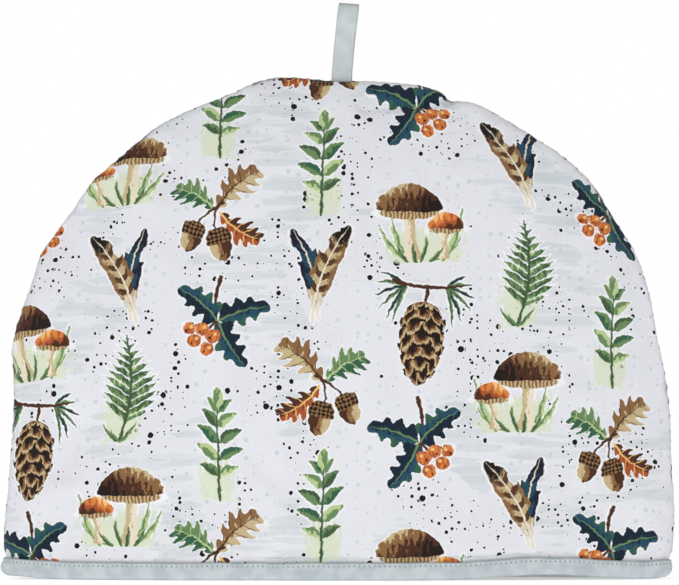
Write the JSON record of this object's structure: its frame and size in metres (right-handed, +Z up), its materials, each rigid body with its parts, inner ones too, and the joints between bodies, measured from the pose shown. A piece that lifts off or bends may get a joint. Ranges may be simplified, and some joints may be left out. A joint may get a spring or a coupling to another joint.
{
  "type": "tea cosy",
  "caption": "Padded dome-shaped tea cosy in printed cotton, standing open on a bound hem, with a flat tape loop at its top.",
  "frame": {"origin": "on the floor under the middle of the cosy", "axes": "+X along the cosy's width, to the right seen from the front; -Y out of the front panel; +Z up through the loop"},
  "size_m": [0.342, 0.1021, 0.2952],
  "materials": {
    "printed_cotton": "plain-weave cotton, pale blue-white ground with a painted woodland print, matt",
    "binding_cotton": "plain-weave cotton, duck-egg grey, matt"
  },
  "bodies": {
    "root": {"panel_front": "printed_cotton", "panel_back": "printed_cotton", "hem_binding": "binding_cotton", "hanging_loop": "binding_cotton"}
  },
  "joints": []
}
